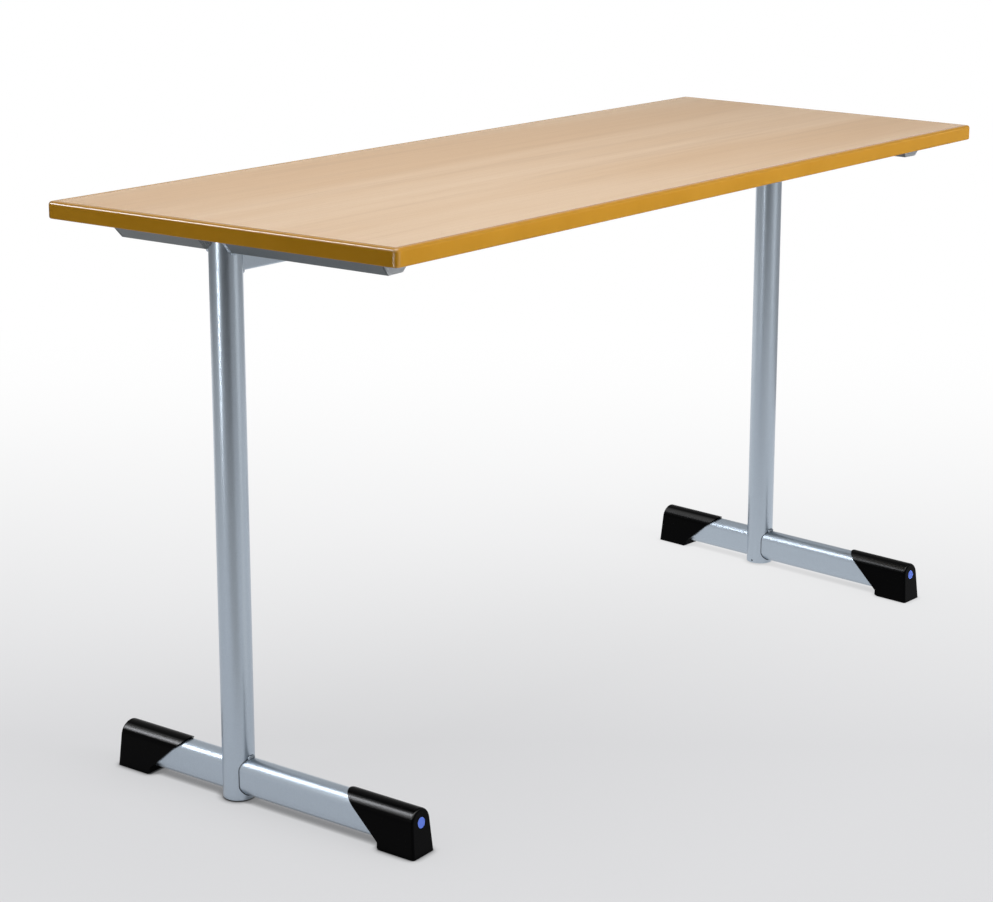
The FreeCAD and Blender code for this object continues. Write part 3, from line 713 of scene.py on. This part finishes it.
def studio_floor():
    """Pale floor that fades to plain white behind the desk and far off on every side."""
    bpy.ops.mesh.primitive_plane_add(size=FLOOR_SIZE)
    floor = bpy.context.object
    floor.name = "studio_floor"
    finish, tree = bare_finish("studio_floor")
    place = node(tree, "ShaderNodeTexCoord").outputs["Object"]
    depth = along(tree, place, PHOTO_DEPTH)
    before = calculate(tree, "POWER", between(tree, depth, -0.27, 2.27, 1.0, 0.0), 2.05)
    reach = node(tree, "ShaderNodeVectorMath", {0: place}, operation="LENGTH").outputs["Value"]
    grey = calculate(tree, "MULTIPLY", before, between(tree, reach, 1.5, 5.0, 1.0, 0.0))
    fade = between(tree, grey, 0.0, 1.0, 1.0, 0.0)
    pale = blend_colours(tree, fade, FLOOR_GREY, WHITE)
    wide, close, closest = (contact_shade(tree, *shade) for shade in CONTACT_SHADES)
    contact = calculate(tree, "MULTIPLY", calculate(tree, "MULTIPLY", closest, close), wide)
    eased = blend_numbers(tree, between(tree, fade, 0.05, 0.50, 0.0, 0.75), contact, 1.0)
    glow = node(tree, "ShaderNodeEmission", {"Color": pale, "Strength": eased})
    shaded = node(tree, "ShaderNodeBsdfDiffuse", {"Color": pale})
    share = between(tree, fade, 0.0, 1.0, 0.14, 0.0)
    seen = mix_shaders(tree, share, glow.outputs["Emission"], shaded.outputs["BSDF"])
    bounce = node(tree, "ShaderNodeBsdfDiffuse", {"Color": FLOOR_BOUNCE})
    surface = mix_shaders(tree, seen_rays(tree), bounce.outputs["BSDF"], seen)
    node(tree, "ShaderNodeOutputMaterial", {"Surface": surface})
    floor.data.materials.append(finish)


def studio_world():
    """A faint even fill, before a backdrop that is plain white at its foot and dim above."""
    world = bpy.data.worlds.new("studio_world")
    bpy.context.scene.world = world
    world.use_nodes = True
    tree = world.node_tree
    tree.nodes.clear()
    sight = node(tree, "ShaderNodeTexCoord").outputs["Generated"]
    height = node(tree, "ShaderNodeSeparateXYZ", {"Vector": sight}).outputs["Z"]
    dim = between(tree, along(tree, sight, BACKDROP_BRIGHT_SIDE), -0.7, 0.2, 0.12, 0.60)
    level = blend_numbers(tree, between(tree, height, 0.09, 0.20), 1.0, dim)
    backdrop = node(tree, "ShaderNodeBackground", {"Color": WHITE, "Strength": level})
    fill = node(tree, "ShaderNodeBackground", {"Color": FILL_TINT, "Strength": FILL_STRENGTH})
    shown = mix_shaders(tree, seen_rays(tree), fill.outputs["Background"], backdrop.outputs["Background"])
    node(tree, "ShaderNodeOutputWorld", {"Surface": shown})


def reflection_card(name, near, far, level, lip=0.0, lip_level=None):
    """A card out of sight on the floor, for the frames to mirror.

    One with a lip is turned up at its far edge, where it may glow at a level of its own.
    """
    rows = [(near, CARD_HEIGHT), (far, CARD_HEIGHT)]
    if lip:
        rows.append((far, CARD_HEIGHT + lip))
    corners = [(x, y, height) for edge, height in rows for x, y in edge]
    count = len(near)
    faces = [
        (corner, corner + 1, corner + count + 1, corner + count)
        for row in range(len(rows) - 1)
        for corner in range(row * count, (row + 1) * count - 1)
    ]
    mesh = bpy.data.meshes.new(name)
    mesh.from_pydata(corners, [], faces)
    card = bpy.data.objects.new(name, mesh)
    bpy.context.collection.objects.link(card)
    finish, tree = bare_finish(name)
    place = node(tree, "ShaderNodeTexCoord").outputs["Object"]
    height = node(tree, "ShaderNodeSeparateXYZ", {"Vector": place}).outputs["Z"]
    strength = between(tree, height, *LIP_RISE, level, level if lip_level is None else lip_level)
    glow = node(tree, "ShaderNodeEmission", {"Color": CARD_TINT, "Strength": strength})
    node(tree, "ShaderNodeOutputMaterial", {"Surface": glow.outputs["Emission"]})
    mesh.materials.append(finish)
    card.visible_camera = False
    card.visible_diffuse = False
    card.visible_shadow = False


def softbox(name, place, aim, size, power, lights_diffuse=True, mirrored=True, spread=180.0):
    """A soft lamp of a width and height, with its beam's spread in degrees.

    One that lights nothing diffuse is only there to be mirrored, and is tinted for that.
    One that isn't mirrored only lights diffuse surfaces.
    """
    lamp = bpy.data.lights.new(name, "AREA")
    lamp.shape = "RECTANGLE"
    lamp.size, lamp.size_y = size
    lamp.energy = power
    lamp.spread = math.radians(spread)
    made = bpy.data.objects.new(name, lamp)
    bpy.context.collection.objects.link(made)
    made.location = place
    made.rotation_mode = "QUATERNION"
    made.rotation_quaternion = (Vector(aim) - Vector(place)).to_track_quat("-Z", "Y")
    made.visible_camera = False
    made.visible_diffuse = lights_diffuse
    made.visible_glossy = mirrored
    if not lights_diffuse:
        lamp.color = GLINT_TINT


def photo_camera():
    """The photo's view, with a small lens shift that keeps its uprights nearly parallel."""
    back = Vector((
        math.sin(CAMERA_AZIMUTH) * math.cos(CAMERA_ELEVATION),
        -math.cos(CAMERA_AZIMUTH) * math.cos(CAMERA_ELEVATION),
        math.sin(CAMERA_ELEVATION),
    ))
    lens = bpy.data.cameras.new("photo_camera")
    lens.sensor_width = SENSOR_WIDTH
    lens.lens = FOCAL_PIXELS * SENSOR_WIDTH / IMAGE_WIDTH
    lens.shift_y = (AXIS_ROW - IMAGE_HEIGHT / 2) / IMAGE_WIDTH
    made = bpy.data.objects.new("photo_camera", lens)
    bpy.context.collection.objects.link(made)
    made.location = CAMERA_PLACE
    made.rotation_mode = "QUATERNION"
    made.rotation_quaternion = (-back).to_track_quat("-Z", "Y")
    bpy.context.scene.camera = made


studio_floor()
studio_world()
reflection_card(
    "dark_card",
    near=[(-1.33, -1.70), (-2.97, -0.12)],
    far=[(-3.20, -7.50), (-8.50, -2.20)],
    level=0.004,
    lip=1.2,
)
reflection_card(
    "far_card",
    near=[(-3.00, -0.12), (-3.31, 0.72), (-2.78, 1.79), (-2.25, 2.35), (-1.16, 2.79)],
    far=[(-8.50, -2.20), (-8.40, 1.80), (-6.50, 5.00), (-4.50, 6.80), (-1.60, 8.00)],
    level=0.03,
    lip=1.3,
    lip_level=0.70,
)
reflection_card(
    "side_card",
    near=[(-1.95, -0.12), (-1.87, 0.05), (-1.72, 0.48)],
    far=[(-3.00, -0.12), (-3.25, 0.50), (-3.31, 0.72)],
    level=0.36,
)
reflection_card(
    "left_card",
    near=[(-1.72, 0.48), (-1.55, 0.95), (-1.10, 1.15), (-0.40, 1.40)],
    far=[(-3.31, 0.72), (-2.78, 1.79), (-2.25, 2.35), (-1.16, 2.79)],
    level=0.62,
)
reflection_card(
    "mid_card",
    near=[(-0.40, 1.40), (0.60, 1.50)],
    far=[(-1.16, 2.79), (0.80, 2.85)],
    level=1.2,
)
reflection_card(
    "back_card",
    near=[(-1.16, 2.79), (0.80, 2.85)],
    far=[(-1.60, 8.00), (1.00, 8.00)],
    level=0.12,
    lip=1.3,
    lip_level=0.45,
)
reflection_card(
    "front_card",
    near=[(-1.20, -1.62), (-0.20, -1.65)],
    far=[(-3.10, -7.50), (1.10, -8.00)],
    level=0.32,
    lip=0.8,
)
reflection_card(
    "band_card",
    near=[(-0.20, -1.65), (0.70, -1.60)],
    far=[(1.10, -8.00), (4.60, -6.50)],
    level=0.92,
    lip=0.8,
)
reflection_card(
    "right_card",
    near=[(0.70, -1.60), (1.45, -1.40), (1.70, 0.30)],
    far=[(4.60, -6.50), (7.00, -5.00), (8.00, 1.00)],
    level=0.40,
    lip=0.8,
)
reflection_card(
    "shade_card",
    near=[(-0.95, -0.17), (-0.73, -0.35)],
    far=[(-2.60, -0.35), (-1.33, -1.70)],
    level=0.54,
)
reflection_card(
    "glow_card",
    near=[(-0.57, -0.42), (-0.35, -0.25)],
    far=[(-0.20, -1.65), (0.70, -1.60)],
    level=0.82,
)
softbox(
    "front_softbox",
    place=(0.6, -3.5, 1.6),
    aim=(0.0, 0.0, 0.6),
    size=(1.6, 1.9),
    power=92.0,
    mirrored=False,
)
softbox("top_softbox", place=(-0.45, -0.15, 2.9), aim=(-0.45, 0.05, 0.7), size=(2.2, 1.6), power=45.0)
softbox(
    "shoulder_strip",
    place=(-2.52, 2.30, 2.60),
    aim=(-0.60, 0.0, 0.40),
    size=(0.5, 2.3),
    power=30.0,
    lights_diffuse=False,
)
softbox("column_strip", place=(-1.754, 0.246, 0.56), aim=(-0.6, 0.05, 0.56), size=(0.06, 0.68), power=2.2)
softbox(
    "corner_strip",
    place=(-1.37, -0.32, 0.60),
    aim=(-0.67, -0.277, 0.735),
    size=(0.07, 0.05),
    power=0.0021,
    lights_diffuse=False,
    spread=30.0,
)
photo_camera()
bpy.context.scene.view_settings.view_transform = "Standard"
